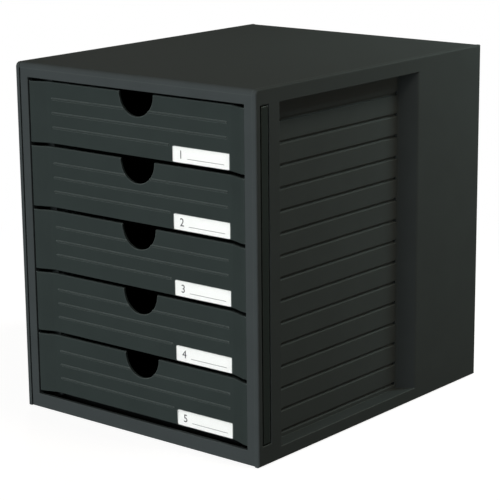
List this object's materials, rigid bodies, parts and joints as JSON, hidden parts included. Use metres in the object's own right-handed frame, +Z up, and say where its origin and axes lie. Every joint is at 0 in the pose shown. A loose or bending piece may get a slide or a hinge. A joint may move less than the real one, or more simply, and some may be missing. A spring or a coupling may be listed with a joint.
{
  "type": "desktop drawer organizer",
  "caption": "Closed desktop drawer organizer for A4 paper: moulded housing with slatted side recesses, scooped drawer fronts with finger notches, label strips and independent sliding drawers.",
  "frame": {"origin": "under the middle of the housing, on the surface that it stands on", "axes": "+Z up; the drawer fronts face -Y; +X is to the right of someone facing the fronts"},
  "size_m": [0.275, 0.33, 0.32],
  "materials": {
    "housing_plastic": "fine matt grain, dark anthracite polystyrene",
    "drawer_plastic": "fine matt grain, dark anthracite polystyrene",
    "label_card": "smooth white card",
    "label_window": "clear polished polystyrene",
    "foot_rubber": "soft matt rubber"
  },
  "bodies": {
    "housing": {"side_panel_left": "housing_plastic", "side_panel_right": "housing_plastic", "top_panel": "housing_plastic", "bottom_panel": "housing_plastic", "back_panel": "housing_plastic", "front_frame": "housing_plastic", "cover_strip_left": "housing_plastic", "cover_strip_right": "housing_plastic", "foot_front_left": "foot_rubber", "foot_front_right": "foot_rubber", "foot_rear_left": "foot_rubber", "foot_rear_right": "foot_rubber"},
    "drawer_1": {"drawer_tray_1": "drawer_plastic", "label_card_1": "label_card", "label_window_1": "label_window"},
    "drawer_2": {"drawer_tray_2": "drawer_plastic", "label_card_2": "label_card", "label_window_2": "label_window"},
    "drawer_3": {"drawer_tray_3": "drawer_plastic", "label_card_3": "label_card", "label_window_3": "label_window"},
    "drawer_4": {"drawer_tray_4": "drawer_plastic", "label_card_4": "label_card", "label_window_4": "label_window"},
    "drawer_5": {"drawer_tray_5": "drawer_plastic", "label_card_5": "label_card", "label_window_5": "label_window"}
  },
  "joints": [
    {"name": "drawer_1_slide", "type": "slide", "parent": "housing", "child": "drawer_1", "axis": [0, -1, 0], "range_m": [0, 0.24]},
    {"name": "drawer_2_slide", "type": "slide", "parent": "housing", "child": "drawer_2", "axis": [0, -1, 0], "range_m": [0, 0.24]},
    {"name": "drawer_3_slide", "type": "slide", "parent": "housing", "child": "drawer_3", "axis": [0, -1, 0], "range_m": [0, 0.24]},
    {"name": "drawer_4_slide", "type": "slide", "parent": "housing", "child": "drawer_4", "axis": [0, -1, 0], "range_m": [0, 0.24]},
    {"name": "drawer_5_slide", "type": "slide", "parent": "housing", "child": "drawer_5", "axis": [0, -1, 0], "range_m": [0, 0.24]}
  ]
}
